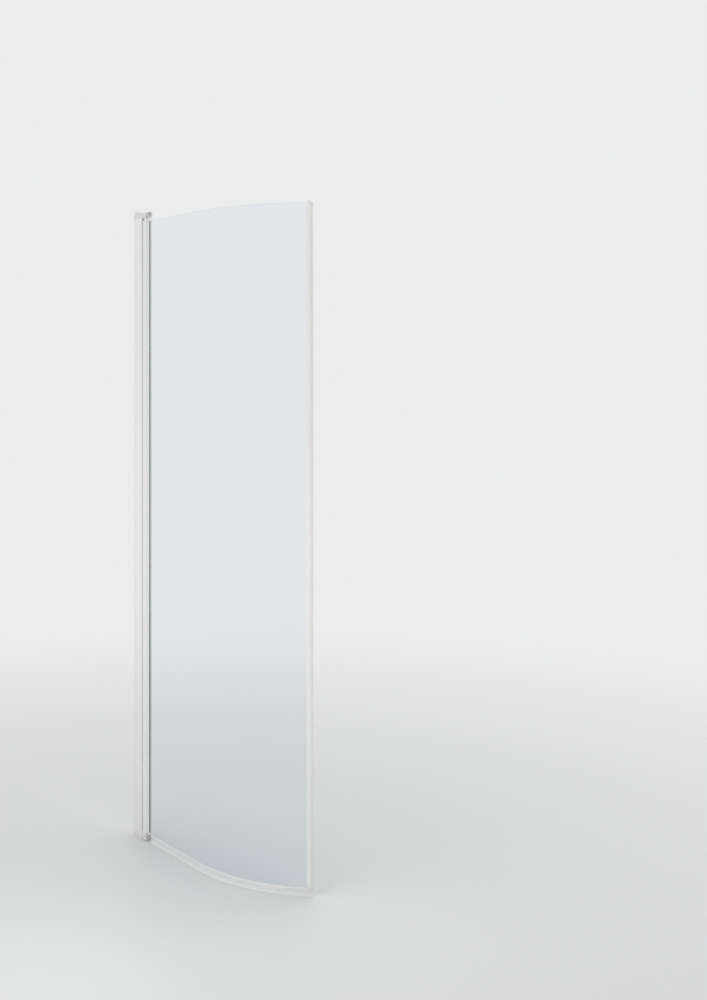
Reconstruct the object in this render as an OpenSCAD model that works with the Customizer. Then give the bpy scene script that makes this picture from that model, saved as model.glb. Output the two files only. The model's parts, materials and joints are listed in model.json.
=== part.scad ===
// Curved hinged shower door: wall channel, jamb, rising hinge and a bent glass leaf.
// X runs out from the wall, Y along the wall into the shower, Z up from the floor.
// The origin is on the channel's wall face, at floor level, in the middle of its width.

/* [Wall channel] */
// Overall height from the floor to the top of the channel's cap
frame_h = 2000; // [1900:10:2100]
// Depth of the wall channel, out from the wall
channel_d = 50; // [45:1:55]
// Width of the wall channel, along the wall
channel_w = 20; // [19:1:24]
// Wall thickness of the channel's sides
channel_t = 1.5; // [1.2:0.1:2]
// Thickness of the channel's back, against the wall
channel_back_t = 2; // [1.6:0.2:3]
// Height of the end caps
cap_h = 24.5; // [22:0.5:30]
// Diameter of the holes for the wall screws
wall_hole_d = 5.2; // [4.2:0.2:6.4]
// Distance from the channel's ends to the outer wall screw holes
wall_hole_end = 100; // [60:10:200]
// Distance between the two inner wall screw holes
wall_hole_inner = 600; // [400:50:900]

/* [Width adjustment] */
// How far the jamb can be drawn out of the channel
adjust_travel = 20; // [10:1:20]
// Diameter of the clamp screws
clamp_d = 4; // [3:0.5:5]
// Distance between neighbouring clamp screws
clamp_pitch = 700; // [500:50:850]

/* [Jamb and hinge] */
// How far the jamb's tail starts behind the pivot
jamb_tail = 73; // [72:1:74]
// Wall thickness of the jamb
jamb_t = 1.4; // [1.2:0.1:1.8]
// Play between the channel's inside and the jamb, on each side
slide_gap = 0.2; // [0.15:0.05:0.4]
// Distance from the wall to the hinge's axis
pivot_x = 81; // [80:0.5:84]
// Outer diameter of the leaf's round hinge rail
rail_d = 17; // [16:0.5:17.5]
// Distance from the hinge's axis to the rail's flat face, where the glass comes out
rail_face = 5.2; // [5:0.1:5.8]
// Diameter of the hinge arms' knuckles
knuckle_d = 16; // [15:0.5:16]
// Height of a knuckle
knuckle_h = 15; // [13:1:17]
// Diameter of the pivot pins
pin_d = 6; // [5:0.5:6]
// Running clearance of a pivot in its bush, on the radius
pin_gap = 0.05; // [0.03:0.01:0.1]
// How far the leaf climbs in one full turn of the rising hinge
cam_lead = 12; // [10:1:16]
// Number of ramps round each rise cam
cam_ramps = 3; // [2:1:3]

/* [Leaf] */
// Thickness of the glass
glass_t = 6; // [5:1:6]
// Height of the glass above the floor
glass_z0 = 17; // [15:1:19]
// How far the glass's top edge lies below the top of the channel's cap
glass_top_drop = 36; // [35:1:45]
// Straight run of the leaf, from the hinge's axis to the start of the bend
straight_run = 297; // [200:1:500]
// Radius of the bend, at the middle of the glass
bend_r = 500; // [400:10:600]
// Angle of the bend, up to the closing face
bend_angle = 45; // [40:1:50]

/* [Closing profile] */
// Length of the aluminium closing profile, along the glass
closer_len = 12; // [11:0.5:15]
// Width of the closing profile, across the glass
closer_w = 13; // [12:0.5:18]
// Length of the magnet strip beyond the aluminium
magnet_len = 5.5; // [5:0.5:9]
// Width of the magnet strip
magnet_w = 11; // [10:0.5:12]
// Height of the closing profile's lower end above the floor
closer_z0 = 22; // [20:0.5:26]
// How far the closing profile reaches above the glass
closer_rise = 4; // [1:0.5:7]
// Height of the closing profile's end caps, and radius of their round corner
closer_cap = 10; // [9:0.5:12]

/* [Bottom seal] */
// Height of the seal clip's top edge above the floor
clip_top = 26; // [24:1:30]
// Width of the seal clip
clip_w = 9.2; // [8.6:0.2:11]
// How far the seal's fin leans outwards
fin_rake = 8; // [4:0.5:10]
// Gap between the seal's fin and the floor
floor_gap = 0.8; // [0.5:0.1:2]

/* [Hidden] */

// Roundness of small parts, of the bend and of a hull's own pieces
$fn = 64;
bend_fn = 360;
soft_fn = 32;
// Overshoot of a cutting shape, and the gap between flat faces that only lie close
cut = 1;
seat_gap = 0.15;

// Metal, plastic, rubber and glass colours
satin_white = [0.90, 0.90, 0.90];
cap_white = [0.86, 0.87, 0.87];
chrome = [0.62, 0.64, 0.66];
nylon = [0.93, 0.93, 0.91];
dark_rubber = [0.20, 0.22, 0.22];
grey_rubber = [0.45, 0.46, 0.47];
seal_clear = [0.88, 0.89, 0.93, 0.8];
black_steel = [0.10, 0.10, 0.11];
glass_tint = [0.80, 0.88, 0.90, 0.35];

// Heights of the channel, the jamb and the leaf
channel_top = frame_h - cap_h;
end_gap = 0.5;
jamb_z0 = cap_h + end_gap;
jamb_z1 = channel_top;
jamb_w = channel_w - 2 * channel_t - 2 * slide_gap;
jamb_x0 = pivot_x - jamb_tail;
glass_z1 = frame_h - glass_top_drop;

// End caps of the channel and of the jamb's visible ends
swing_gap = 0.4;
cap_wall = 1.6;
cap_soft = 1.5;
cap_back_r = 7;
cap_drop = 5;
cap_tongue = 14;
foot_wall = 0.8;
jamb_cap_rise = 0.5;
foot_clear = 1.5;
jamb_cap_x0 = channel_d + foot_wall + 2 * seat_gap;
jamb_cap_x1 = pivot_x - knuckle_d / 2 - swing_gap;

// Hinge arm, measured outwards from the jamb's end
knuckle_in = 1;
knuckle_out = knuckle_in + knuckle_h;
arm_bar_in = 2.5;
arm_bar_out = 10;
arm_bar_w = 8;
arm_spigot = 58;
arm_screw_in = 6;
arm_screw_head_d = 6.8;
arm_screw_d = 4;
arm_screw_edge = 5.1;
arm_socket = 0.75;

// Jamb section: side walls, a cross wall, the arm's chamber and the hollow nose
nose_gap = 0.4;
nose_r = rail_d / 2 + nose_gap;
lip_back = 4.6;
lip_x = pivot_x - lip_back;
wall_inset = 1.5;
wall_x = channel_d + wall_inset;
chamber_x0 = wall_x + jamb_t;
arm_screw_x = chamber_x0 + arm_screw_edge;
nose_wall = 2.8;
chamber_x1 = pivot_x - nose_r - nose_wall;
chamber_w = jamb_w - 2 * jamb_t;
spigot_gap = 0.2;
jamb_cap_wall = (channel_w - chamber_w) / 2;
arm_bar_x0 = jamb_cap_x0 + jamb_cap_wall + spigot_gap;
arm_root = 2;

// Rise cams, standing on the lower knuckle
cam_d = knuckle_d - 1;
cam_base = 0.9;
cam_z0 = jamb_z0 - knuckle_in;
cam_climb = cam_lead / cam_ramps;
cam_gap = 0.15;
cam_play_angle = 1;
cam_ring = 0.6;
cam_toe = 0.1;
cam_rim = 0.25;
cam_fn = 144;
rail_z0 = cam_z0 + cam_base + cam_toe + cam_climb + cam_ring;

// Rail, with a bore at each end for the plug and the pin
swing_limit = 95;
lift = cam_lead * swing_limit / 360;
head_room = 0.3;
upper_knuckle_z = jamb_z1 + knuckle_in;
bush_flange = 0.9;
plug_top = upper_knuckle_z - seat_gap - bush_flange - lift - head_room;
plug_flange = 9;
rail_z1 = plug_top - plug_flange;
rail_pocket_w = 10.8;
pocket_back = 3.5;
pocket_x = pivot_x - pocket_back;
edge_gap = 0.5;
plug_d = 12.6;
plug_gap = 0.05;
plug_len = 20;
plug_face = 4.5;
pin_up = 58;
pin_seat = 12;
clip_t = 1.2;
clip_groove = 0.4;
upper_pin_z = rail_z1 - plug_len - 1;
clip_land = 0.8;
clip_z = upper_pin_z + clip_land;
upper_bore_z = upper_pin_z - lift - head_room;
pin_room = 2;
lower_bore_z = pin_up + pin_room;
bush_d = 9.4;
bush_flat = 7.8;
bush_gap = 0.1;

// Glass: its edge in the rail, and the corner notches round the plugs and the knuckles
gasket_proud = 0.3;
gasket_x1 = pivot_x + rail_face + gasket_proud;
edge_x = pocket_x + edge_gap;
notch_gap = 1;
notch_x = gasket_x1 + edge_gap;
corner_x = pivot_x + rail_d / 2 + notch_gap;
bend_x = pivot_x + straight_run;
lip_seal = 1;

// Closing stack, measured back from the closing face
pocket_w = 8.4;
pocket_depth = 8;
groove_depth = 2.4;
groove_mouth = 4;
groove_w = 7;
closer_s0 = -magnet_len - closer_len;
pocket_s1 = closer_s0 + pocket_depth;
glass_end_s = pocket_s1 - edge_gap;
glass_end_angle = bend_angle + glass_end_s / bend_r * 180 / PI;
closer_z1 = glass_z1 + closer_rise;
magnet_wall = 1.2;
fit_gap = 0.1;

// Bottom seal
clip_floor = 2;
clip_inner_drop = 3;
clip_z0 = glass_z0 - clip_floor;
clip_end_gap = 9;
clip_x0 = pivot_x + knuckle_d / 2 + clip_end_gap;
fin_top_t = 2.4;
fin_tip_t = 1.2;
seal_end_angle = bend_angle - 0.05;

// Clamp screws on the channel's inner side
clamp_lip = 5;
clamp_x = channel_d - clamp_lip;
clamp_head_d = 7.6;
clamp_head_h = 2.2;
clamp_cover_t = 1;
clamp_cover_rim = 1.2;
clamp_cover_soft = 0.6;
clamp_socket = 0.6;
nut_len = 11;
nut_w = 12;
nut_t = 3;
clamp_heights = [for (i = [-1:1]) frame_h / 2 + i * clamp_pitch];
wall_heights = [
    wall_hole_end, frame_h / 2 - wall_hole_inner / 2,
    frame_h / 2 + wall_hole_inner / 2, frame_h - wall_hole_end
];

// A flat shape drawn in X and Y, standing from one height to another
module stand(z0, z1) { translate([0, 0, z0]) linear_extrude(z1 - z0) children(); }

// A block from corner to corner
module block(low, high) { translate(low) cube(high - low); }

// A round bar on the hinge's axis
module on_pivot(d, z0, z1) { translate([pivot_x, 0, z0]) cylinder(d = d, h = z1 - z0); }

// A round bar along Y
module across(d, x, z, y0, y1) {
    translate([x, y0, z]) rotate([-90, 0, 0]) cylinder(d = d, h = y1 - y0);
}

// Sweeps a section along the leaf: its first axis points outside, its second one up
module along_leaf(x0, angle) {
    translate([x0, 0, 0]) rotate([90, 0, 90]) linear_extrude(bend_x - x0) mirror([1, 0]) children();
    round_bend(angle) children();
}
module round_bend(angle) {
    translate([bend_x, bend_r, 0]) rotate([0, 0, -90])
        rotate_extrude(angle = angle, $fn = bend_fn) translate([bend_r, 0]) children();
}

// Puts a flat shape at the closing face: its first axis runs along the glass, its second inside
module at_closing_face() {
    translate([bend_x, bend_r, 0]) rotate([0, 0, bend_angle])
        translate([0, -bend_r, 0]) children();
}

// A rectangle along the closing stack, centred across the glass
module stack(s0, s1, w) { translate([s0, -w / 2]) square([s1 - s0, w]); }

// Turns an arm's parts over for the lower end, so that both ends take the same part
module at_upper_end() { translate([0, 0, jamb_z1]) children(); }
module at_lower_end() { translate([0, 0, jamb_z0]) rotate([180, 0, 0]) children(); }

module wall_channel() color(satin_white) difference() {
    stand(0, channel_top) difference() {
        translate([0, -channel_w / 2]) square([channel_d, channel_w]);
        translate([channel_back_t, -channel_w / 2 + channel_t])
            square([channel_d, channel_w - 2 * channel_t]);
    }
    for (z = wall_heights) translate([-cut, 0, z]) rotate([0, 90, 0])
        cylinder(d = wall_hole_d, h = channel_back_t + 2 * cut);
    for (z = clamp_heights)
        across(clamp_d + 2 * pin_gap, clamp_x, z, channel_w / 2 - channel_t - cut, channel_w / 2 + cut);
}

// A rod along Y with chamfered ends
module soft_rod(r, w, x, z) {
    across(2 * r, x, z, cap_soft - w / 2, w / 2 - cap_soft, $fn = soft_fn);
    across(2 * (r - cap_soft / 2), x, z, -w / 2, w / 2, $fn = soft_fn);
}

// Shell of a cap, open towards the profile that it closes: a round upper edge at the back,
// and a top that falls towards the front
module cap_shell(x0, x1, w, z0, z1, wall, back_r, drop) difference() {
    hull() {
        block([x0, -w / 2, z0], [x1, w / 2, z0 + wall]);
        soft_rod(back_r, w, x0 + back_r, z1 - back_r);
        soft_rod(cap_soft, w, x1 - cap_soft, z1 - drop - cap_soft);
    }
    block([x0 + wall, -w / 2 + wall, z0 - cut], [x1 - wall, w / 2 - wall, z1 - drop - 2 * wall]);
}

module channel_top_cap() color(cap_white) {
    cap_shell(0, channel_d, channel_w, channel_top, frame_h, cap_wall, cap_back_r, cap_drop);
    inner_w = channel_w - 2 * channel_t - 2 * fit_gap;
    difference() {
        block([channel_back_t + fit_gap, -inner_w / 2, channel_top - cap_tongue],
            [jamb_x0 - 1, inner_w / 2, frame_h - cap_drop - 2 * cap_wall + fit_gap]);
        block([channel_back_t + cap_wall, -inner_w / 2 + cap_wall, channel_top - cap_tongue - cut],
            [jamb_x0, inner_w / 2 - cap_wall, channel_top + cap_h / 2]);
    }
}

module channel_foot_cover() color(cap_white) stand(0, cap_h) difference() {
    translate([seat_gap, -channel_w / 2 - foot_wall])
        square([channel_d + foot_wall - seat_gap, channel_w + 2 * foot_wall]);
    translate([0, -channel_w / 2]) square([channel_d, channel_w]);
}

module channel_lip_seals() color(grey_rubber) for (side = [0, 1]) mirror([0, side, 0])
    stand(jamb_z0, channel_top) translate([channel_d, channel_w / 2 - channel_t + fit_gap])
        square([lip_seal, channel_t - fit_gap]);

module clamp_screws() color(chrome) for (z = clamp_heights) {
    across(clamp_d, clamp_x, z, jamb_w / 2 - jamb_t - nut_t, channel_w / 2 + clamp_head_h / 2);
    difference() {
        across(clamp_head_d, clamp_x, z, channel_w / 2, channel_w / 2 + clamp_head_h);
        translate([clamp_x, channel_w / 2 + clamp_head_h, z]) rotate([90, 0, 0])
            cylinder(d = clamp_d * clamp_socket, h = clamp_head_h / 2, $fn = 6);
    }
}

module clamp_nuts() color(chrome) for (z = clamp_heights) difference() {
    block([clamp_x - nut_len / 2, jamb_w / 2 - jamb_t - nut_t - fit_gap, z - nut_w / 2],
        [clamp_x + nut_len / 2, jamb_w / 2 - jamb_t - fit_gap, z + nut_w / 2]);
    across(clamp_d, clamp_x, z, 0, jamb_w);
}

module clamp_screw_covers() color(cap_white) for (z = clamp_heights)
    translate([clamp_x, channel_w / 2, z]) rotate([-90, 0, 0]) difference() {
        cylinder(r1 = clamp_head_d / 2 + clamp_cover_rim, r2 = clamp_head_d / 2 + clamp_cover_soft,
            h = clamp_head_h + clamp_cover_t);
        translate([0, 0, -cut]) cylinder(d = clamp_head_d + 2 * fit_gap, h = cut + clamp_head_h + fit_gap);
    }

// Section of the jamb: tail in the channel, chamber for the arms, hollow nose round the rail
module jamb_section() difference() {
    translate([jamb_x0, -jamb_w / 2]) square([lip_x - jamb_x0, jamb_w]);
    translate([jamb_x0 - cut, -chamber_w / 2]) square([wall_x - jamb_x0 + cut, chamber_w]);
    translate([chamber_x0, -chamber_w / 2]) square([chamber_x1 - chamber_x0, chamber_w]);
    translate([pivot_x, 0]) circle(r = nose_r);
}

module jamb_profile() color(satin_white) difference() {
    stand(jamb_z0, jamb_z1) jamb_section();
    for (z = clamp_heights, x = [clamp_x - adjust_travel, clamp_x])
        across(clamp_d + 4 * fit_gap, x, z, 0, jamb_w);
    for (z = clamp_heights)
        block([clamp_x - adjust_travel, 0, z - clamp_d / 2 - 2 * fit_gap],
            [clamp_x, jamb_w, z + clamp_d / 2 + 2 * fit_gap]);
    across(arm_screw_head_d + 2 * fit_gap, arm_screw_x, jamb_z1 - arm_screw_in, -jamb_w, 0);
    across(arm_screw_head_d + 2 * fit_gap, arm_screw_x, jamb_z0 + arm_screw_in, 0, jamb_w);
}

// Cap over the jamb's visible end, with a slot for the arm
module jamb_cap(out) difference() {
    cap_shell(jamb_cap_x0, jamb_cap_x1, channel_w, 0, out, jamb_cap_wall, cap_soft, 0);
    block([jamb_cap_x1 - 2 * jamb_cap_wall, -arm_bar_w / 2 - fit_gap, -cut],
        [jamb_cap_x1 + cut, arm_bar_w / 2 + fit_gap, arm_bar_out + fit_gap]);
}
module jamb_top_cap() color(cap_white) at_upper_end() jamb_cap(knuckle_out + jamb_cap_rise);
module jamb_foot_cap() color(cap_white) at_lower_end() jamb_cap(jamb_z0 - foot_clear);

// Hinge arm: spigot in the jamb's chamber, bar and knuckle with the pin's bore
module hinge_arm() difference() {
    union() {
        block([chamber_x0 + spigot_gap, -chamber_w / 2 + spigot_gap, -arm_spigot],
            [chamber_x1 - spigot_gap, chamber_w / 2 - spigot_gap, 0]);
        block([arm_bar_x0, -arm_bar_w / 2, -cut], [chamber_x1 - spigot_gap, arm_bar_w / 2, arm_bar_out]);
        block([chamber_x1 - arm_root, -arm_bar_w / 2, arm_bar_in],
            [pivot_x, arm_bar_w / 2, arm_bar_out]);
        on_pivot(knuckle_d, knuckle_in, knuckle_out);
    }
    on_pivot(pin_d, knuckle_in - cut, knuckle_in + pin_seat);
    across(arm_screw_d, arm_screw_x, -arm_screw_in, -jamb_w, 0);
}
module upper_hinge_arm() color(chrome) at_upper_end() hinge_arm();
module lower_hinge_arm() color(chrome) at_lower_end() hinge_arm();

// Arm screw: head in the jamb's face, shank in the arm's spigot
module arm_screw() difference() {
    union() {
        across(arm_screw_head_d, arm_screw_x, -arm_screw_in,
            -jamb_w / 2 + fit_gap, -chamber_w / 2 + spigot_gap);
        across(arm_screw_d, arm_screw_x, -arm_screw_in, -chamber_w / 2, -jamb_t);
    }
    translate([arm_screw_x, -jamb_w / 2, -arm_screw_in]) rotate([-90, 0, 0])
        cylinder(d = arm_screw_d * arm_socket, h = jamb_t, $fn = 6);
}
module upper_arm_screw() color(black_steel) at_upper_end() arm_screw();
module lower_arm_screw() color(black_steel) at_lower_end() arm_screw();

module upper_pivot_pin() color(chrome) difference() {
    on_pivot(pin_d, upper_pin_z, upper_knuckle_z + pin_seat);
    difference() {
        on_pivot(pin_d + cut, clip_z, clip_z + clip_t);
        on_pivot(pin_d - 2 * clip_groove, clip_z - cut, clip_z + clip_t + cut);
    }
}
module lower_pivot_pin() color(chrome) on_pivot(pin_d, cam_z0 - pin_seat, pin_up);

module bush_clip() color(black_steel) difference() {
    on_pivot(bush_flat - 4 * bush_gap, clip_z, clip_z + clip_t);
    on_pivot(pin_d - 2 * clip_groove, clip_z - cut, clip_z + clip_t + cut);
}

// A band of a ramp between two radii, clockwise seen from above: its lower and upper faces
// run from their first height to their second
module ramp(r0, r1, turn, low, high) {
    steps = ceil(cam_fn / cam_ramps);
    rows = [for (i = [0:steps])
        let (part = i / steps, a = turn - part * 360 / cam_ramps,
            z0 = low[0] + (low[1] - low[0]) * part, z1 = high[0] + (high[1] - high[0]) * part)
        for (p = [[r0, z0], [r1, z0], [r1, z1], [r0, z1]])
            [p[0] * cos(a), p[0] * sin(a), p[1]]];
    sides = [for (i = [0:steps - 1], k = [0:3]) let (a = 4 * i + k, b = 4 * i + (k + 1) % 4)
        each [[a, b + 4, b], [a, a + 4, b + 4]]];
    last = 4 * steps;
    ends = [[0, 1, 2], [0, 2, 3], [last, last + 2, last + 1], [last, last + 3, last + 2]];
    polyhedron(points = rows, faces = concat(sides, ends));
}

// Ring of ramps on the hinge's axis
module ramp_ring(turn, low, high) for (k = [0:cam_ramps - 1])
    translate([pivot_x, 0, 0])
        ramp(pin_d / 2 - cut, cam_d / 2 - cam_rim, turn + k * 360 / cam_ramps, low, high);

module cam_bore() on_pivot(pin_d + 2 * pin_gap, cam_z0 - cut, rail_z0 + plug_len + cut);

module fixed_rise_cam() color(nylon) difference() {
    union() {
        on_pivot(cam_d, cam_z0, cam_z0 + cam_base);
        translate([0, 0, cam_z0 + cam_base])
            ramp_ring(0, [-cam_base / 2, -cam_base / 2], [cam_toe, cam_toe + cam_climb]);
    }
    cam_bore();
}

module moving_rise_cam() color(nylon) difference() {
    ring_z = cam_toe + cam_climb + (cam_ring - cam_gap) / 2;
    union() {
        translate([0, 0, cam_z0 + cam_base + cam_gap])
            ramp_ring(-cam_play_angle, [cam_toe, cam_toe + cam_climb], [ring_z, ring_z]);
        on_pivot(cam_d, rail_z0 - cam_ring + cam_gap, rail_z0);
        rail_plug(rail_z0, rail_z0 + plug_len);
    }
    cam_bore();
}

// A round bar on the hinge's axis with a flat face towards the glass
module faced_bar(d, face, z0, z1) intersection() {
    on_pivot(d, z0, z1);
    block([pivot_x - d, -d, z0 - cut], [pivot_x + face, d, z1 + cut]);
}

// Plug in the rail's bore, with wings in the rail's glass pocket
module rail_plug(z0, z1) {
    faced_bar(plug_d - 2 * plug_gap, plug_face, z0, z1);
    block([pivot_x, -rail_pocket_w / 2 + fit_gap, z0],
        [pivot_x + plug_face, rail_pocket_w / 2 - fit_gap, z1]);
}

module keyed_bar(d, flat, z0, z1) intersection() {
    on_pivot(d, z0, z1);
    block([pivot_x - flat / 2, -d, z0 - cut], [pivot_x + flat / 2, d, z1 + cut]);
}

module upper_bush() color(nylon) difference() {
    union() {
        keyed_bar(bush_d, bush_flat, clip_z + clip_t + seat_gap, upper_knuckle_z - seat_gap);
        on_pivot(cam_d, upper_knuckle_z - seat_gap - bush_flange, upper_knuckle_z - seat_gap);
    }
    on_pivot(pin_d + 2 * pin_gap, upper_pin_z, upper_knuckle_z);
}

module rail_top_plug() color(cap_white) difference() {
    union() {
        faced_bar(rail_d, rail_face, rail_z1, plug_top);
        rail_plug(rail_z1 - plug_len, rail_z1);
    }
    keyed_bar(bush_d + 2 * bush_gap, bush_flat + 2 * bush_gap, rail_z1 - plug_len - cut, plug_top + cut);
}

module hinge_rail() color(satin_white) difference() {
    faced_bar(rail_d, rail_face, rail_z0, rail_z1);
    block([pocket_x, -rail_pocket_w / 2, rail_z0 - cut],
        [pivot_x + rail_d, rail_pocket_w / 2, rail_z1 + cut]);
    on_pivot(plug_d, rail_z0 - cut, lower_bore_z);
    on_pivot(plug_d, upper_bore_z, rail_z1 + cut);
}

// Gasket round the glass's edge, with a strip in front of each plug
module rail_gasket() color(dark_rubber) difference() {
    block([pocket_x, -rail_pocket_w / 2, rail_z0], [gasket_x1, rail_pocket_w / 2, rail_z1]);
    block([edge_x, -glass_t / 2, lower_bore_z], [gasket_x1 + cut, glass_t / 2, upper_bore_z]);
    for (z = [[rail_z0 - cut, lower_bore_z], [upper_bore_z, rail_z1 + cut]])
        block([pocket_x - cut, -rail_pocket_w, z[0]],
            [pivot_x + plug_face + fit_gap, rail_pocket_w, z[1]]);
}

module glass_panel() color(glass_tint) {
    translate([0, glass_t / 2, 0]) rotate([90, 0, 0]) linear_extrude(glass_t) polygon([
        [corner_x, glass_z0], [bend_x, glass_z0], [bend_x, glass_z1], [corner_x, glass_z1],
        [corner_x, rail_z1 - notch_gap], [notch_x, rail_z1 - notch_gap], [notch_x, upper_bore_z],
        [edge_x, upper_bore_z], [edge_x, lower_bore_z], [notch_x, lower_bore_z],
        [notch_x, rail_z0 + notch_gap], [corner_x, rail_z0 + notch_gap]
    ]);
    round_bend(glass_end_angle) translate([-glass_t / 2, glass_z0])
        square([glass_t, glass_z1 - glass_z0]);
}

// Room for the glass's end, a little wider than the bent glass
module bent_glass_room(gap, z0, z1) round_bend(glass_end_angle)
    translate([-glass_t / 2 - gap, z0]) square([glass_t + 2 * gap, z1 - z0]);

module closing_profile() color(satin_white) at_closing_face()
    stand(closer_z0 + closer_cap, closer_z1 - closer_cap) difference() {
        stack(closer_s0, -magnet_len, closer_w);
        stack(closer_s0 - cut, pocket_s1, pocket_w);
        stack(-magnet_len - groove_depth, -magnet_len - groove_depth / 2, groove_w);
        stack(-magnet_len - groove_depth, -magnet_len + cut, groove_mouth);
    }

module closing_gasket() color(dark_rubber) difference() {
    at_closing_face() stand(closer_z0 + closer_cap, closer_z1 - closer_cap)
        stack(closer_s0, pocket_s1, pocket_w);
    bent_glass_room(fit_gap / 2, 0, frame_h);
}

// End cap over the profile and the magnet strip, round at its corner by the closing face
module closing_end() {
    flat_len = closer_len + magnet_len - closer_cap;
    translate([closer_s0, closer_w / 2, 0]) rotate([90, 0, 0]) linear_extrude(closer_w) {
        square([flat_len, closer_cap]);
        translate([flat_len, 0]) intersection() {
            circle(r = closer_cap);
            translate([-cut, 0]) square([closer_cap + cut, closer_cap]);
        }
    }
}
module closing_top_cap() color(cap_white) difference() {
    at_closing_face() translate([0, 0, closer_z1 - closer_cap]) closing_end();
    bent_glass_room(fit_gap, 0, glass_z1 + fit_gap);
}
module closing_foot_cap() color(cap_white) difference() {
    at_closing_face() translate([0, 0, closer_z0 + closer_cap]) mirror([0, 0, 1]) closing_end();
    bent_glass_room(fit_gap, 0, frame_h);
}

// Stands between the closing profile's end caps
module between_caps() at_closing_face()
    stand(closer_z0 + closer_cap + fit_gap, closer_z1 - closer_cap - fit_gap) children();

module magnet_carrier() color(grey_rubber) between_caps()
    difference() {
        union() {
            stack(-magnet_len, 0, magnet_w);
            stack(-magnet_len - groove_depth + fit_gap, -magnet_len, groove_mouth - 2 * fit_gap);
            stack(-magnet_len - groove_depth + fit_gap, -magnet_len - groove_depth / 2 - fit_gap,
                groove_w - 2 * fit_gap);
        }
        stack(-magnet_len + magnet_wall, -magnet_wall, magnet_w - 2 * magnet_wall);
    }

module magnet_bar() color(black_steel) between_caps()
    stack(-magnet_len + magnet_wall + fit_gap, -magnet_wall - fit_gap,
        magnet_w - 2 * magnet_wall - 2 * fit_gap);

module bottom_seal_clip() color(seal_clear) difference() {
    along_leaf(clip_x0, seal_end_angle) difference() {
        translate([-clip_w / 2, clip_z0]) square([clip_w, clip_top - clip_z0]);
        translate([-glass_t / 2, glass_z0]) square([glass_t, clip_top]);
        translate([-clip_w, clip_top - clip_inner_drop]) square([clip_w, clip_top]);
    }
    at_closing_face() stand(closer_z0 - fit_gap, frame_h) stack(closer_s0 - fit_gap, cut, 2 * closer_w);
}

module bottom_seal_fin() color(seal_clear) along_leaf(clip_x0, seal_end_angle) polygon([
    [-fin_top_t / 2, clip_z0], [fin_top_t / 2, clip_z0],
    [fin_rake + fin_tip_t / 2, floor_gap], [fin_rake - fin_tip_t / 2, floor_gap]
]);

wall_channel();
channel_top_cap();
channel_foot_cover();
channel_lip_seals();
clamp_screws();
clamp_nuts();
clamp_screw_covers();
jamb_profile();
jamb_top_cap();
jamb_foot_cap();
upper_hinge_arm();
lower_hinge_arm();
upper_arm_screw();
lower_arm_screw();
upper_pivot_pin();
lower_pivot_pin();
bush_clip();
fixed_rise_cam();
upper_bush();
glass_panel();
hinge_rail();
rail_gasket();
rail_top_plug();
moving_rise_cam();
closing_profile();
closing_gasket();
closing_top_cap();
closing_foot_cap();
magnet_carrier();
magnet_bar();
bottom_seal_clip();
bottom_seal_fin();
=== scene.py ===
import json
import math

import bmesh
import bpy
from mathutils import Matrix, Vector


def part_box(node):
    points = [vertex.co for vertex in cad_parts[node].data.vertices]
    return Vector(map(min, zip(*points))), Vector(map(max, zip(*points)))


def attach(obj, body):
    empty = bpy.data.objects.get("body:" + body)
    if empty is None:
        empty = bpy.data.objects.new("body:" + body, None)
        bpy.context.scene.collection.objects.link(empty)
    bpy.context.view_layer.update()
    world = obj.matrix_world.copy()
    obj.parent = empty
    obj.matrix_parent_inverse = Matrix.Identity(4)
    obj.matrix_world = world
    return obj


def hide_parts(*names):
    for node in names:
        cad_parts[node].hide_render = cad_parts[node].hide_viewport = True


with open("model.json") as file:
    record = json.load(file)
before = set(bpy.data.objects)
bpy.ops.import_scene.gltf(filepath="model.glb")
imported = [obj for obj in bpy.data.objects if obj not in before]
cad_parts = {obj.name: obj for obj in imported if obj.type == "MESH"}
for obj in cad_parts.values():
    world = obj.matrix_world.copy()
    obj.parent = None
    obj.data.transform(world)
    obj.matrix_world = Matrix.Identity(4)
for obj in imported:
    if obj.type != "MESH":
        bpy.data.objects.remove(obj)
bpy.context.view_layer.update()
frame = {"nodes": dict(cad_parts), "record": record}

MM = 0.001

# Each node's finish and body, as the record gives them
RECORD = frame["record"]
SLOT_OF = {part["node"]: part["material_slot"] for part in RECORD["subparts"]}
BODY_OF = {node: body for body, nodes in RECORD["behaviour"]["bodies"].items() for node in nodes}

# The leaf in plan, in millimetres: straight from the hinge, then bent towards the inside.
# Its bend follows from where the closing face stands and looks. CLOSING_S is that face's place
# along the leaf, and BEND_STEP is the longest step of a mesh on the bend.
CLOSING_MOUNT = next(m for m in RECORD["mounts"] if m["name"] == "closing_face")
BEND_ANGLE = math.atan2(CLOSING_MOUNT["axis"][1], CLOSING_MOUNT["axis"][0])
BEND_R = CLOSING_MOUNT["pos_m"][1] / MM / (1 - math.cos(BEND_ANGLE))
BEND_X = CLOSING_MOUNT["pos_m"][0] / MM - BEND_R * math.sin(BEND_ANGLE)
CLOSING_S = BEND_X + BEND_R * BEND_ANGLE
BEND_STEP = 6

# Steps in a rounded corner and in a bevel
ARC_STEPS = 5
BEVEL_STEPS = 3

# Angles: half of a corner that counts as straight, the most a flat face may turn, and the turn
# past which an edge stays sharp
STRAIGHT_HALF = math.radians(89.5)
FLAT_TURN = math.radians(0.5)
SHARP_ANGLE = math.radians(32)

# Distances in millimetres that can't be seen: a gap between pieces, and one between points
# that are the same
HAIR = 0.05
WELD = 0.001

# The glass: its ground chamfer, its round corners, how far outside the hinge arms they start,
# how far inside the rail's ends it is cut back, and its end, measured from the closing face
GLASS_CHAMFER = 0.06
GLASS_CORNER_R = 4
GLASS_CORNER_STEPS = 6
GLASS_ARM_GAP = 1.5
GLASS_RAIL_GAP = 1
GLASS_END = 10

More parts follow.
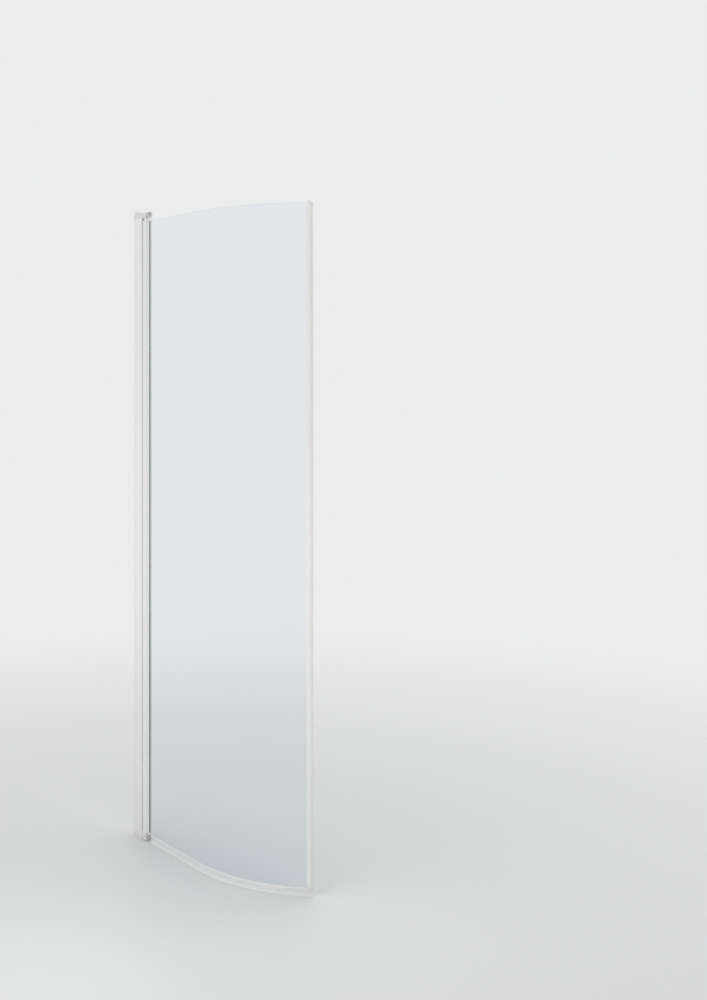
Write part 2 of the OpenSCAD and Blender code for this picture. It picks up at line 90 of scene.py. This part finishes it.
# How deep the rail gasket is behind its face
GASKET_DEPTH = 0.9

# The bottom seal: its floor, its gap to the glass, how much lower its inner leg is, and its gap
# to the closing face. The notch in its end clears the closing profile's foot by a small gap,
# and reaches past the seal in front and on both sides.
SEAL_FLOOR = 2
SEAL_GLASS_GAP = 0.02
SEAL_INNER_DROP = 3
SEAL_END_GAP = 0.45
NOTCH_GAP = 0.1
NOTCH_FRONT = 3
NOTCH_HALF = 13

# The seal's fin: half its root's width, how far the root goes into the clip, and its tip's width
FIN_ROOT_HALF = 1.2
FIN_ROOT_UP = 0.4
FIN_TIP = 1.3

# The closing stack's section: places along the leaf, measured from the closing face with minus
# towards the hinge, and half widths across it
PROFILE_FRONT = -5.5
PROFILE_BACK = -17.5
PROFILE_HALF = 6.5
POCKET_DEPTH = 8
POCKET_HALF = 4.2

# The groove in the profile's front: its lips' thickness, its depth, half its mouth and half its
# width. The magnet sleeve's tongue is so much smaller all round.
GROOVE_LIP = 1.2
GROOVE_DEPTH = 2.4
MOUTH_HALF = 2
GROOVE_HALF = 3.5
TONGUE_GAP = 0.1
SLEEVE_HALF = 5.5
SLEEVE_WALL = 1.2

# How far a cutter stands out of what it cuts
CUT_OVERRUN = 1


def node_box(name):
    """A node's lowest and highest corners at rest, in millimetres."""
    return [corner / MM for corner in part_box(name)]


def thickness(node):
    """Thickness of a node of the leaf, read where the leaf is straight."""
    return -2 * node_box(node)[0].y


# Outlines and meshes


def rounded(corners):
    """The points of a closed outline whose corners, each (x, y, radius), are rounded."""
    points = []
    for i, (x, y, radius) in enumerate(corners):
        here = Vector((x, y))
        back = (Vector(corners[i - 1][:2]) - here).normalized()
        ahead = (Vector(corners[(i + 1) % len(corners)][:2]) - here).normalized()
        half = back.angle(ahead) / 2
        if not radius or half > STRAIGHT_HALF:
            points.append(here)
            continue
        middle = here + (back + ahead).normalized() * radius / math.sin(half)
        start = here + back * radius / math.tan(half) - middle
        end = here + ahead * radius / math.tan(half) - middle
        turn = math.atan2(start.cross(end), start.dot(end))
        for k in range(ARC_STEPS + 1):
            points.append(middle + Matrix.Rotation(turn * k / ARC_STEPS, 2) @ start)
    return points


def mirrored(half):
    """A whole outline from one half of it, mirrored in the first axis."""
    return half + [(x, -y, r) for x, y, r in reversed(half)]


def metric_piece(name, bm):
    """A smooth-shaded object from a bmesh in metres."""
    bmesh.ops.recalc_face_normals(bm, faces=bm.faces)
    mesh = bpy.data.meshes.new(name)
    bm.to_mesh(mesh)
    bm.free()
    piece = bpy.data.objects.new(name, mesh)
    bpy.context.scene.collection.objects.link(piece)
    return shaded(piece)


def piece_of(name, bm):
    """The same from a bmesh in millimetres."""
    bmesh.ops.scale(bm, vec=(MM, MM, MM), verts=bm.verts)
    return metric_piece(name, bm)


def shaded(piece):
    """Smooth shading, apart from edges that turn sharply."""
    piece.data.shade_smooth()
    piece.data.set_sharp_from_angle(angle=SHARP_ANGLE)
    return piece


def loft(rings):
    """Skins rings that have as many points each, and closes both ends."""
    bm = bmesh.new()
    rows = [[bm.verts.new(p) for p in ring] for ring in rings]
    count = len(rows[0])
    for low, high in zip(rows, rows[1:]):
        for k in range(count):
            n = (k + 1) % count
            bm.faces.new((low[k], low[n], high[n], high[k]))
    bm.faces.new(rows[0])
    bm.faces.new(rows[-1])
    return bm


def prism(outline, z0, z1):
    """An outline in X and Y, drawn out from one height to another."""
    return loft([[(p[0], p[1], z) for p in outline] for z in (z0, z1)])


def on_leaf(s, across, z):
    """A point beside the leaf: s runs like X and then along the bend, across points inside."""
    turn = max(0, s - BEND_X) / BEND_R
    x = min(s, BEND_X) + (BEND_R - across) * math.sin(turn)
    return Vector((x, BEND_R - (BEND_R - across) * math.cos(turn), z))


def stations(start, end):
    """Places along the leaf, close enough on the bend for it to look round."""
    straight = [start] if start >= BEND_X else [start, BEND_X]
    first = straight[-1]
    steps = math.ceil((end - first) / BEND_STEP)
    return straight + [first + (end - first) * (k + 1) / steps for k in range(steps)]


def sweep(section, start, end):
    """A section of (across, height) points, swept along the leaf."""
    return loft([[on_leaf(s, p[0], p[1]) for p in section] for s in stations(start, end)])


def closing_prism(outline, z0, z1):
    """A prism at the closing face: the outline's points lie along the leaf and across it."""
    along = Vector((math.cos(BEND_ANGLE), math.sin(BEND_ANGLE), 0))
    return loft([[on_leaf(CLOSING_S, p[1], z) + along * p[0] for p in outline] for z in (z0, z1)])


def cut_out(piece, cutter):
    """Cuts one object out of another and drops the cutter."""
    modifier = piece.modifiers.new("cut", "BOOLEAN")
    modifier.operation = "DIFFERENCE"
    modifier.solver = "EXACT"
    modifier.object = cutter
    bpy.context.view_layer.update()
    done = piece.evaluated_get(bpy.context.evaluated_depsgraph_get())
    mesh = bpy.data.meshes.new_from_object(done)
    piece.modifiers.clear()
    piece.data = mesh
    bpy.data.objects.remove(cutter)
    return shaded(piece)


def softened(node, width, least):
    """A copy of a CAD node whose sharp edges, where longer than least, are rounded."""
    bm = bmesh.new()
    bm.from_mesh(frame["nodes"][node].data)
    bmesh.ops.remove_doubles(bm, verts=bm.verts, dist=WELD * MM)
    bmesh.ops.dissolve_limit(bm, angle_limit=FLAT_TURN, verts=bm.verts, edges=bm.edges)
    sharp = [e for e in bm.edges if len(e.link_faces) == 2
             and e.calc_face_angle(0) > SHARP_ANGLE and e.calc_length() > least * MM]
    bmesh.ops.bevel(bm, geom=sharp, offset=width * MM, segments=BEVEL_STEPS, profile=0.5,
                    affect="EDGES", clamp_overlap=True)
    return metric_piece(node + "_soft", bm)


# Shaders

# A Mix node's sockets for two colours and for their mix go by number, because its sockets for
# other kinds of values have the same names
MIX_FIRST = 6
MIX_SECOND = 7
MIX_RESULT = 2


class Wire:
    """A shader socket. Operators on it add Math nodes to its tree."""

    def __init__(self, shade, socket):
        self.shade, self.socket = shade, socket

    def math(self, operation, *others):
        return self.shade.node("ShaderNodeMath", {"operation": operation}, [self, *others])

    def __add__(self, other):
        return self.math("ADD", other)

    def __sub__(self, other):
        return self.math("SUBTRACT", other)

    def __rsub__(self, other):
        return self.shade.node("ShaderNodeMath", {"operation": "SUBTRACT"}, [other, self])

    def __mul__(self, other):
        return self.math("MULTIPLY", other)

    __radd__ = __add__
    __rmul__ = __mul__


class Shade:
    """A node tree that is being written: a material's or the world's."""

    def __init__(self, owner):
        owner.use_nodes = True
        self.owner, self.tree = owner, owner.node_tree
        self.tree.nodes.clear()

    def node(self, kind, settings=None, values=None, output=0):
        """Adds a node: its settings first, then the values or links of its sockets."""
        made = self.tree.nodes.new(kind)
        for name, value in (settings or {}).items():
            setattr(made, name, value)
        pairs = values.items() if isinstance(values, dict) else enumerate(values or [])
        for key, value in pairs:
            if isinstance(value, Wire):
                self.tree.links.new(value.socket, made.inputs[key])
            else:
                made.inputs[key].default_value = value
        return Wire(self, made.outputs[output]) if made.outputs else None

    def place(self):
        """Where a point is on the piece, in metres, in the frame's axes."""
        return self.node("ShaderNodeTexCoord", output="Object")

    def upright(self, vector):
        """How far a place or a direction goes up."""
        return self.node("ShaderNodeSeparateXYZ", {}, [vector], output="Z")

    def ray(self, name):
        """1 for the kind of ray that is named, and otherwise 0."""
        return self.node("ShaderNodeLightPath", output=name)

    def noise(self, scale, detail=2.0, stretch=(1, 1, 1)):
        """Noise from 0 to 1 with so many features a metre, drawn out along an axis."""
        vector = self.node("ShaderNodeVectorMath", {"operation": "MULTIPLY"}, [self.place(), stretch])
        return self.node("ShaderNodeTexNoise", {}, {"Vector": vector, "Scale": scale, "Detail": detail})

    def ramp(self, value, start, end):
        """0 below the start, 1 above the end, and a soft step between them."""
        return self.node("ShaderNodeMapRange", {"interpolation_type": "SMOOTHSTEP"},
                         {"Value": value, "From Min": start, "From Max": end})

    def blend(self, factor, first, second):
        """A colour between two others."""
        colours = {MIX_FIRST: (*first, 1), MIX_SECOND: (*second, 1)}
        return self.node("ShaderNodeMix", {"data_type": "RGBA"}, {"Factor": factor, **colours},
                         output=MIX_RESULT)

    def bump(self, height, depth, strength=0.5):
        """A normal from a height between 0 and 1 that stands for a depth in millimetres."""
        return self.node("ShaderNodeBump", {},
                         {"Height": height, "Distance": depth * MM, "Strength": strength})

    def body(self, values):
        """The finish itself, of metal, plastic, rubber or glass."""
        return self.node("ShaderNodeBsdfPrincipled", {}, values)

    def mix(self, factor, first, second):
        """One shader where the factor is 0 and the other where it is 1."""
        return self.node("ShaderNodeMixShader", {}, [factor, first, second])

    def lamps_pass(self, body, tint):
        """Lets lamplight through a body, tinted: a shadow ray meets a plain clear film."""
        film = self.node("ShaderNodeBsdfTransparent", {}, {"Color": (*tint, 1)})
        return self.mix(self.ray("Is Shadow Ray"), body, film)

    def surface(self, shader):
        """Ends the tree and returns the material or the world."""
        is_world = isinstance(self.owner, bpy.types.World)
        self.node("ShaderNodeOutputWorld" if is_world else "ShaderNodeOutputMaterial", {}, [shader])
        return self.owner


def finish_named(name):
    return Shade(bpy.data.materials.new(name))


def toned(colour, factor, lift=0.0):
    """A colour made darker or paler."""
    return tuple(c * factor + lift for c in colour)


# Finishes

# How far a face of the pane leans up or down before it counts as a ground edge
GROUND_EDGE_LEAN = 0.3

# Heights in metres between which the bottom seal turns from its lip's darker colour, painted shade for
# the floor's shadow seen through the thin lip, to its clip's own colour
SEAL_PAINTED_SHADE = (0.008, 0.014)


def satin_profile():
    """Pale satin aluminium: fine lines from the die run along the extrusion."""
    shade = finish_named("satin_profile")
    lines = shade.noise(900, 3, stretch=(1, 1, 0.01))
    cloud = shade.noise(14)
    return shade.surface(shade.body({
        "Base Color": shade.blend(cloud, (0.755, 0.755, 0.755), (0.795, 0.795, 0.79)),
        "Metallic": 0.25,
        "Roughness": lines * 0.10 + 0.32,
        "Normal": shade.bump(lines, depth=0.01),
    }))


def moulded(name, colour, rough):
    """Moulded plastic with a fine grain."""
    shade = finish_named(name)
    speckle = shade.noise(2600, 3)
    cloud = shade.noise(30)
    return shade.surface(shade.body({
        "Base Color": shade.blend(cloud, toned(colour, 0.96), colour),
        "Roughness": speckle * 0.12 + rough,
        "Normal": shade.bump(speckle, depth=0.02),
    }))


def metal(name, colour, rough, turned=0.0):
    """Bare or plated metal with faint handling marks, or turned lines round an upright axis."""
    shade = finish_named(name)
    marks = shade.noise(220, 4)
    lines = shade.noise(3000, stretch=(0.02, 0.02, 1))
    return shade.surface(shade.body({
        "Base Color": shade.blend(marks, toned(colour, 0.94), colour),
        "Metallic": 1.0,
        "Roughness": marks * 0.06 + lines * turned + rough,
        "Normal": shade.bump(lines, depth=0.004, strength=turned),
    }))


def rubber(name, colour, rough):
    """Extruded rubber or soft plastic: dull, with a dusty bloom."""
    shade = finish_named(name)
    bloom = shade.noise(60, 4)
    lines = shade.noise(1200, stretch=(1, 1, 0.02))
    return shade.surface(shade.body({
        "Base Color": shade.blend(bloom, colour, toned(colour, 1.25, lift=0.01)),
        "Roughness": bloom * 0.12 + rough,
        "Normal": shade.bump(lines, depth=0.01),
    }))


def clear_glass():
    """Clear pane with a faint blue tint and ground upper and lower edges."""
    shade = finish_named("clear_glass")
    lean = shade.upright(shade.node("ShaderNodeTexCoord", output="Normal"))
    edge = lean.math("ABSOLUTE").math("GREATER_THAN", GROUND_EDGE_LEAN)
    pane = shade.body({
        "Base Color": shade.blend(edge, (0.905, 0.94, 0.968), (0.96, 0.975, 0.98)),
        "Roughness": edge * 0.03,
        "IOR": 1.5,
        "Transmission Weight": 1.0,
    })
    return shade.surface(shade.lamps_pass(pane, tint=(0.83, 0.88, 0.90)))


def milky_seal():
    """Translucent soft plastic, milky, with painted shade low down: its thin lip is darker, for the
    floor's shadow seen through it. Lamps pass tinted.
    """
    shade = finish_named("clear_seal")
    cloud = shade.noise(40, 3)
    clip = shade.ramp(shade.upright(shade.place()), *SEAL_PAINTED_SHADE)
    milky = shade.body({
        # Painted shade: the colour runs from the darker lip low down to the clip's own colour above,
        # with a little random tone from the cloud
        "Base Color": shade.blend(cloud * 0.15 + clip * 0.85, (0.64, 0.645, 0.65), (0.78, 0.78, 0.78)),
        "Roughness": cloud * 0.1 + 0.35,
        "IOR": 1.45,
        "Transmission Weight": 0.2,
    })
    return shade.surface(shade.lamps_pass(milky, tint=(0.85, 0.85, 0.86)))


FINISHES = {
    "satin_profile": satin_profile(),
    "cap_plastic": moulded("cap_plastic", (0.67, 0.67, 0.67), rough=0.44),
    "chrome": metal("chrome", (0.66, 0.67, 0.69), rough=0.05),
    "steel": metal("steel", (0.60, 0.60, 0.61), rough=0.22, turned=0.15),
    "black_steel": metal("black_steel", (0.003, 0.003, 0.0035), rough=0.3),
    "nylon": moulded("nylon", (0.80, 0.80, 0.77), rough=0.36),
    "dark_rubber": rubber("dark_rubber", (0.05, 0.055, 0.055), rough=0.45),
    "grey_rubber": rubber("grey_rubber", (0.40, 0.405, 0.41), rough=0.5),
    "clear_glass": clear_glass(),
    "magnet_sleeve": moulded("magnet_sleeve", (0.66, 0.66, 0.66), rough=0.36),
    "magnet_core": rubber("magnet_core", (0.06, 0.055, 0.05), rough=0.5),
    "clear_seal": milky_seal(),
}


def dress(piece, slot):
    """Gives a piece one finish in place of any it had."""
    piece.data.materials.clear()
    piece.data.materials.append(FINISHES[slot])


def stand_in(piece, node):
    """Puts a piece in a node's place, with the node's finish and on its body."""
    slot = SLOT_OF[node]
    dress(piece, slot)
    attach(piece, BODY_OF[node])
    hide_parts(node)


def dress_nodes():
    """Every CAD node gets its slot's finish, whether it stays or is replaced."""
    for node, slot in SLOT_OF.items():
        dress(frame["nodes"][node], slot)


# Nodes whose CAD shape is right and whose edges are rounded: the radius, and the shortest edge
# that is still rounded
SOFT_EDGES = {
    "wall_channel": (0.5, 3), "channel_top_cap": (0.4, 1), "channel_foot_cover": (0.3, 3),
    "channel_lip_seals": (0.3, 3), "clamp_screws": (0.25, 0), "clamp_screw_covers": (0.4, 0),
    "jamb_profile": (0.4, 3), "jamb_top_cap": (0.4, 1), "jamb_foot_cap": (0.4, 1),
    "upper_hinge_arm": (0.6, 0), "lower_hinge_arm": (0.6, 0),
    "upper_arm_screw": (0.25, 0), "lower_arm_screw": (0.25, 0),
    "hinge_rail": (0.3, 3), "rail_top_plug": (0.4, 0),
    "closing_top_cap": (0.5, 1), "closing_foot_cap": (0.5, 1),
}


def soften_nodes():
    for node, (width, least) in SOFT_EDGES.items():
        stand_in(softened(node, width, least), node)


# Pieces of the leaf. An outline's corners are (along, across, radius) for a prism, and
# (across, height, radius) for what is swept along the leaf.


def door_glass():
    """The bent pane: ground edges, round outer corners, cut back round the hinge's plugs."""
    low, high = node_box("glass_panel")
    rail_low, rail_high = node_box("hinge_rail")
    half = thickness("glass_panel") / 2
    start = node_box("rail_gasket")[1].x + HAIR
    corner = node_box("upper_hinge_arm")[1].x + GLASS_ARM_GAP
    notch = (rail_low.z + GLASS_RAIL_GAP, rail_high.z - GLASS_RAIL_GAP)
    places = [(start, *notch), (corner - HAIR, *notch)]
    for k in range(GLASS_CORNER_STEPS + 1):
        turn = math.radians(90 * k / GLASS_CORNER_STEPS)
        drop = GLASS_CORNER_R * (1 - math.sin(turn))
        places.append((corner + GLASS_CORNER_R * (1 - math.cos(turn)), low.z + drop, high.z - drop))
    rest = stations(corner + 2 * GLASS_CORNER_R, CLOSING_S - GLASS_END)
    places += [(s, low.z, high.z) for s in rest]
    rings = []
    for s, z0, z1 in places:
        lower = [(-half, z0 + GLASS_CHAMFER), (-half + GLASS_CHAMFER, z0)]
        lower += [(-a, z) for a, z in reversed(lower)]
        ring = lower + [(a, z1 + z0 - z) for a, z in reversed(lower)]
        rings.append([on_leaf(s, a, z) for a, z in ring])
    stand_in(piece_of("door_glass", loft(rings)), "glass_panel")


def glass_gasket():
    """The gasket's face between the hinge rail's lips, with a soft bead on each side of the glass."""
    low, high = node_box("rail_gasket")
    back = high.x - GASKET_DEPTH
    outer = [(back, low.y, 0), (high.x - 0.35, low.y, 0.3), (high.x, low.y + 1.1, 0.8)]
    inner = [(high.x, high.y - 1.6, 0.2), (back, high.y - 0.8, 0)]
    stand_in(piece_of("glass_gasket", prism(rounded(outer + inner), low.z, high.z)), "rail_gasket")


def seal_leg(side, top):
    """One leg of the seal's clip, from its floor up to its lip and down along the glass."""
    corner = node_box("bottom_seal_clip")[0]
    low, half = corner.z, -corner.y
    glass = thickness("glass_panel") / 2
    face = glass + SEAL_GLASS_GAP
    leg = [
        (half - 1.0, low, 1.2), (half - 0.1, low + 5, 2), (half - 0.3, top - 2.6, 1),
        (half, top, 0.3), (glass + 0.25, top - 0.3, 0.3), (face, top - 2.2, 0.5),
        (face, low + SEAL_FLOOR + SEAL_GLASS_GAP, 0.2),
    ]
    return [(side * across, z, radius) for across, z, radius in leg]


def seal_notch(top):
    """What is cut out of the seal's clip at its end, where the closing profile's foot stands."""
    back, front, half = PROFILE_BACK - NOTCH_GAP, NOTCH_FRONT, NOTCH_HALF
    outline = [(back, -half), (front, -half), (front, half), (back, half)]
    floor = node_box("closing_foot_cap")[0].z - NOTCH_GAP
    return piece_of("seal_notch", closing_prism(outline, floor, 2 * top))


def bottom_seal():
    """Clip round the glass's lower edge, and its fin that curves outwards to the floor."""
    low, high = node_box("bottom_seal_clip")
    end = CLOSING_S - SEAL_END_GAP
    section = rounded(seal_leg(-1, high.z) + seal_leg(1, high.z - SEAL_INNER_DROP)[::-1])
    clip = piece_of("bottom_seal_grip", sweep(section, low.x, end))
    cut_out(clip, seal_notch(high.z))
    stand_in(clip, "bottom_seal_clip")
    tip, root = node_box("bottom_seal_fin")
    fin = rounded([
        (FIN_ROOT_HALF, root.z + FIN_ROOT_UP, 0), (-FIN_ROOT_HALF, root.z + FIN_ROOT_UP, 0),
        (-2.2, root.z - 6, 5), (tip.y, tip.z + 0.6, 0.3), (tip.y + FIN_TIP, tip.z, 0.3),
        (-1, root.z - 8, 5), (1.1, root.z - 1.5, 1),
    ])
    stand_in(piece_of("bottom_seal_lip", sweep(fin, low.x, end)), "bottom_seal_fin")


def closing_extrusion():
    """The aluminium closing profile: a glass pocket at the back, a groove at the front."""
    foot, head = node_box("closing_profile")
    front, back, half = PROFILE_FRONT, PROFILE_BACK, PROFILE_HALF
    side = [
        (back, POCKET_HALF, 0.4), (back, half, 1.3), (front, half, 0.8), (front, MOUTH_HALF, 0.2),
        (front - GROOVE_LIP, MOUTH_HALF, 0), (front - GROOVE_LIP, GROOVE_HALF, 0),
        (front - GROOVE_DEPTH, GROOVE_HALF, 0),
    ]
    pocket = [(back + POCKET_DEPTH, -POCKET_HALF, 0.3), (back + POCKET_DEPTH, POCKET_HALF, 0.3)]
    outline = rounded(mirrored(side) + pocket)
    stand_in(piece_of("closing_extrusion", closing_prism(outline, foot.z, head.z)), "closing_profile")


def magnet_sleeve():
    """The sleeve of the magnet strip, whose tongue sits in the profile's groove."""
    foot, head = node_box("magnet_carrier")
    front, half, wall = PROFILE_FRONT, SLEEVE_HALF, SLEEVE_WALL
    neck_half, tongue_half = MOUTH_HALF - TONGUE_GAP, GROOVE_HALF - TONGUE_GAP
    shoulder, tongue = front - GROOVE_LIP - TONGUE_GAP, front - GROOVE_DEPTH + TONGUE_GAP
    side = [
        (0, half, 1.6), (front, half, 0.5), (front, neck_half, 0), (shoulder, neck_half, 0),
        (shoulder, tongue_half, 0), (tongue, tongue_half, 0),
    ]
    hollow = mirrored([(-wall, half - wall, 0), (front + wall, half - wall, 0)])
    cutter = closing_prism(hollow, foot.z - CUT_OVERRUN, head.z + CUT_OVERRUN)
    sleeve = piece_of("magnet_sleeve", closing_prism(rounded(mirrored(side)), foot.z, head.z))
    cut_out(sleeve, piece_of("sleeve_hollow", cutter))
    stand_in(sleeve, "magnet_carrier")


def leaf():
    door_glass()
    glass_gasket()
    bottom_seal()
    closing_extrusion()
    magnet_sleeve()


# Studio, in metres

BACKDROP = (0.835, 0.84, 0.84)
FILL = (0.98, 0.98, 0.98)

# The floor turns into the backdrop between these two distances from its centre
FLOOR = (0.56, 0.565, 0.565)
FLOOR_ROUGH = 0.45
FLOOR_SIZE = 40
FLOOR_CENTRE = (0.9, -0.75, 0)
FLOOR_FADE = (0.9, 4.4)

# The studio's dark end, which only the pieces' gloss shows, in the world and as a painted dark
# reflection on the floor: its colour, its direction from the hinge, and its soft edge, as cosines of
# the angle from that direction
DARK_END = (0.45, 0.45, 0.46)
DARK_END_SIDE = (0.868, -0.497, 0)
DARK_END_EDGE = (0.80, 0.93)

# The photo's camera, which looks level. Its aim is in plan, and its sensor is in millimetres.
CAMERA_PLACE = (3.390, -1.942, 1.462)
CAMERA_AIM = (-0.765, 0.644)
CAMERA_LENS = 43.0
CAMERA_SENSOR = 36
CAMERA_SHIFT_Y = -0.1206
CAMERA_REACH = 100

# Each lamp's place, the point that it faces, the length of its side, and its watts
SOFTBOXES = {
    "ceiling_box": ((0.9, 0.4, 3.4), (0.5, 0.1, 0.6), 2.2, 24),
    "front_box": ((0.9, -1.0, 0.8), (0.35, 0, 0.8), 0.7, 5.6),
}


def gloss_ray(shade):
    """1 for a ray that a piece's gloss mirrors, but 0 for the pane's rays. The pane is quite
    smooth, so that what it mirrors is singular, and what it lets through is a transmission."""
    pane = shade.ray("Is Transmission Ray").math("MAXIMUM", shade.ray("Is Singular Ray"))
    return shade.ray("Is Glossy Ray") * (1 - pane)


def dark_end(shade, direction):
    """1 where a mirrored ray meets the dark end. The direction is the met point's, from the hinge."""
    heading = shade.node("ShaderNodeVectorMath", {"operation": "DOT_PRODUCT"},
                         [direction, DARK_END_SIDE], output="Value")
    return shade.ramp(heading, *DARK_END_EDGE) * gloss_ray(shade)


def from_hinge(shade):
    """The direction in which a point of the floor lies from the hinge."""
    pin_low, pin_high = node_box("lower_pivot_pin")
    hinge = (pin_low + pin_high) * MM / 2
    offset = (hinge.x - FLOOR_CENTRE[0], hinge.y - FLOOR_CENTRE[1], 0)
    way = shade.node("ShaderNodeVectorMath", {"operation": "SUBTRACT"}, [shade.place(), offset])
    return shade.node("ShaderNodeVectorMath", {"operation": "NORMALIZE"}, [way])


def studio_floor():
    """A pale floor that turns into the backdrop's colour away from its centre. Towards the dark end,
    gloss sees it as a flat dark glow: a painted reflection.
    """
    shade = finish_named("studio_floor")
    far = shade.node("ShaderNodeVectorMath", {"operation": "LENGTH"}, [shade.place()], output="Value")
    matt = shade.body({"Base Color": (*FLOOR, 1), "Roughness": FLOOR_ROUGH})
    glow = shade.node("ShaderNodeEmission", {}, {"Color": (*BACKDROP, 1)})
    pale = shade.mix(shade.ramp(far, *FLOOR_FADE), matt, glow)
    # Painted reflection: gloss that meets the floor towards the dark end sees this flat dark glow in
    # place of the lit floor
    dark = shade.node("ShaderNodeEmission", {}, {"Color": (*DARK_END, 1)})
    both = shade.mix(dark_end(shade, from_hinge(shade)), pale, dark)
    bpy.ops.mesh.primitive_plane_add(size=FLOOR_SIZE, location=FLOOR_CENTRE)
    floor = bpy.context.object
    floor.name = "studio_floor"
    floor.data.materials.append(shade.surface(both))


def studio_world():
    """An even fill. The camera, gloss and the pane see the backdrop, and gloss also the dark end."""
    world = bpy.data.worlds.new("studio")
    bpy.context.scene.world = world
    shade = Shade(world)
    seen = shade.ray("Is Camera Ray").math("MAXIMUM", shade.ray("Is Glossy Ray"))
    seen = seen.math("MAXIMUM", shade.ray("Is Transmission Ray"))
    dark = dark_end(shade, shade.node("ShaderNodeTexCoord", output="Generated"))
    fill = shade.node("ShaderNodeBackground", {}, {"Color": (*FILL, 1)})
    show = shade.node("ShaderNodeBackground", {}, {"Color": shade.blend(dark, BACKDROP, DARK_END)})
    shade.surface(shade.mix(seen, fill, show))


def softbox(name, place, aim, size, watts):
    """A square lamp that lights the object, but that nothing shows, mirrors or lets through."""
    light = bpy.data.lights.new(name, "AREA")
    light.shape = "SQUARE"
    light.size = size
    light.energy = watts
    lamp = bpy.data.objects.new(name, light)
    lamp.location = place
    lamp.rotation_euler = (Vector(aim) - Vector(place)).to_track_quat("-Z", "Y").to_euler()
    lamp.visible_camera = False
    lamp.visible_glossy = False
    lamp.visible_transmission = False
    bpy.context.scene.collection.objects.link(lamp)


def studio_camera():
    camera = bpy.data.objects.new("photo_camera", bpy.data.cameras.new("photo_camera"))
    camera.location = CAMERA_PLACE
    camera.rotation_euler = (math.pi / 2, 0, math.atan2(-CAMERA_AIM[0], CAMERA_AIM[1]))
    camera.data.lens = CAMERA_LENS
    camera.data.sensor_width = CAMERA_SENSOR
    camera.data.shift_y = CAMERA_SHIFT_Y
    camera.data.clip_end = CAMERA_REACH
    bpy.context.scene.collection.objects.link(camera)
    bpy.context.scene.camera = camera


def studio():
    bpy.context.scene.view_settings.view_transform = "Standard"
    studio_camera()
    studio_floor()
    studio_world()
    for name, (place, aim, size, watts) in SOFTBOXES.items():
        softbox(name, place, aim, size, watts)


studio()
dress_nodes()
soften_nodes()
leaf()
